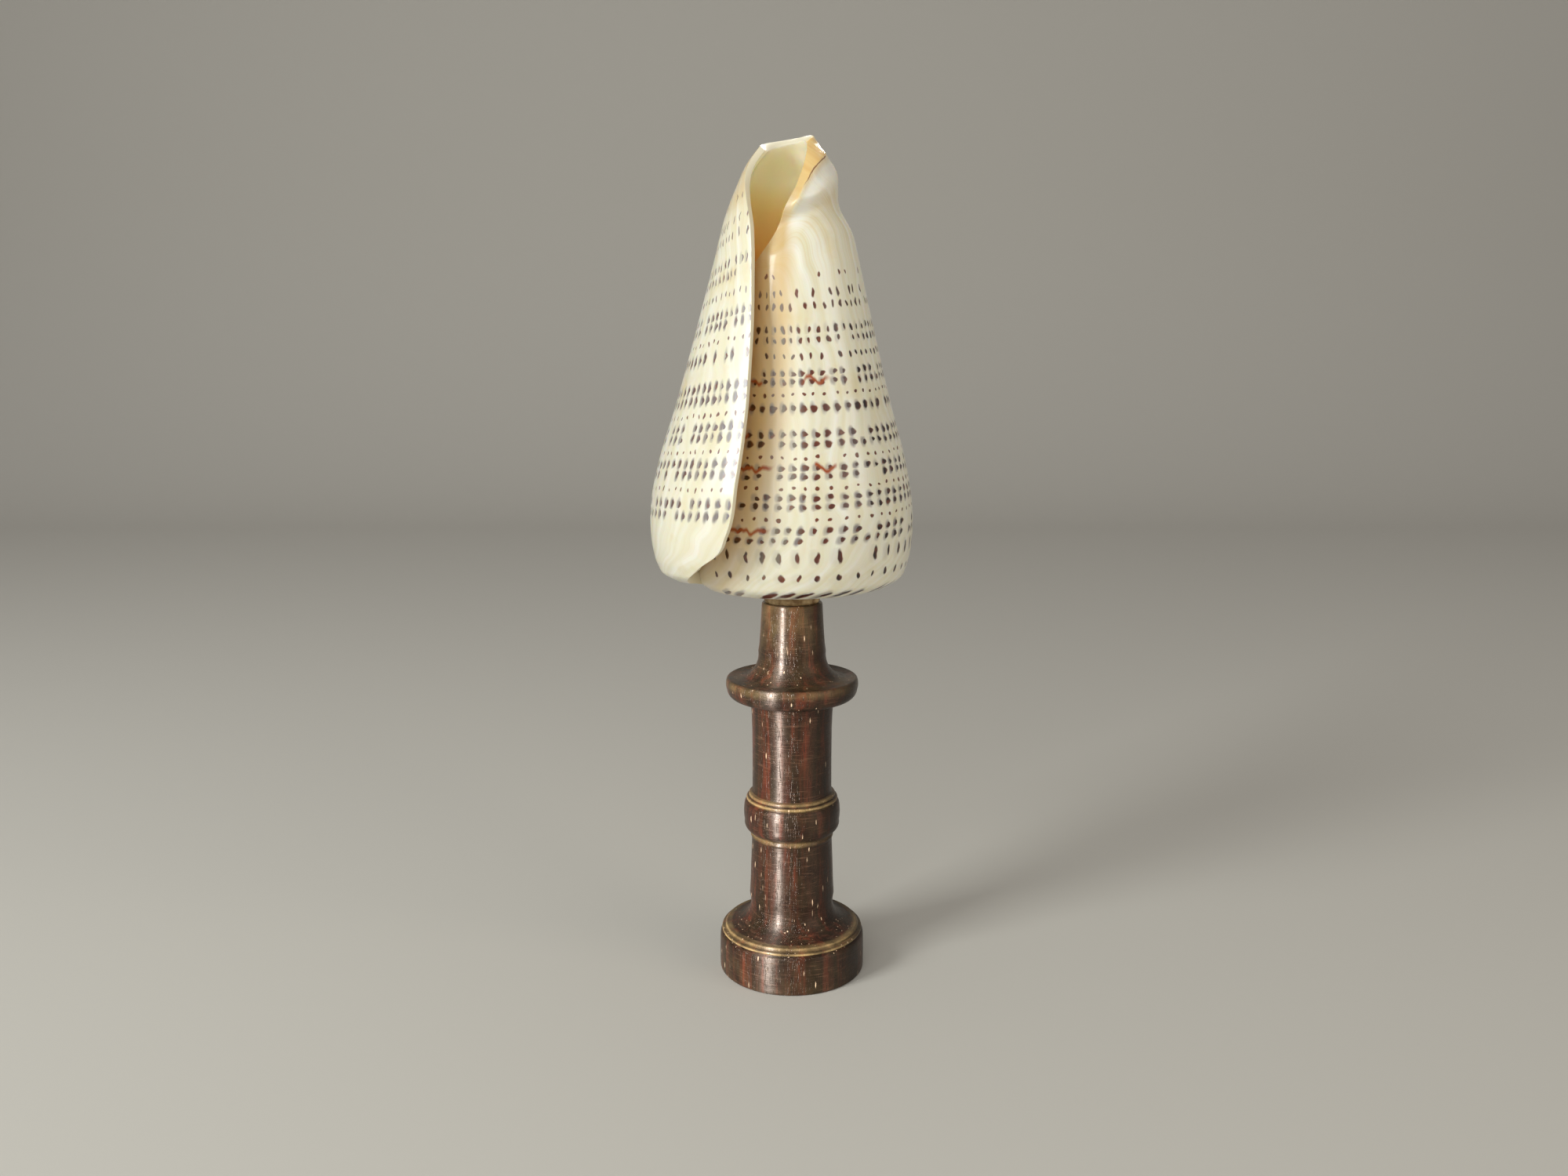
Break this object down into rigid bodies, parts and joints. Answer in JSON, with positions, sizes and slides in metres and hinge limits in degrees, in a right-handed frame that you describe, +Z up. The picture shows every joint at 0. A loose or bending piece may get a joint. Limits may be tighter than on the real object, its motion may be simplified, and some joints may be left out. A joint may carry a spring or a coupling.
{
  "type": "mounted cone shell",
  "caption": "Dotted cone seashell standing on its spire, front end up and aperture forward, held by a bed of wax on a turned dark hardwood stand.",
  "frame": {"origin": "centre of the flat underside of the stand's foot", "axes": "+Z up along the stand's turning axis, through the spire to the shell's front end; -Y towards the viewer, the side the shell's aperture faces; +X to the viewer's right"},
  "size_m": [0.0663, 0.0682, 0.2143],
  "materials": {
    "shell": "glossy",
    "wax": "satin",
    "hardwood": "polished"
  },
  "bodies": {
    "root": {"shell": "shell", "mounting_wax": "wax", "turned_stand": "hardwood"}
  },
  "joints": []
}
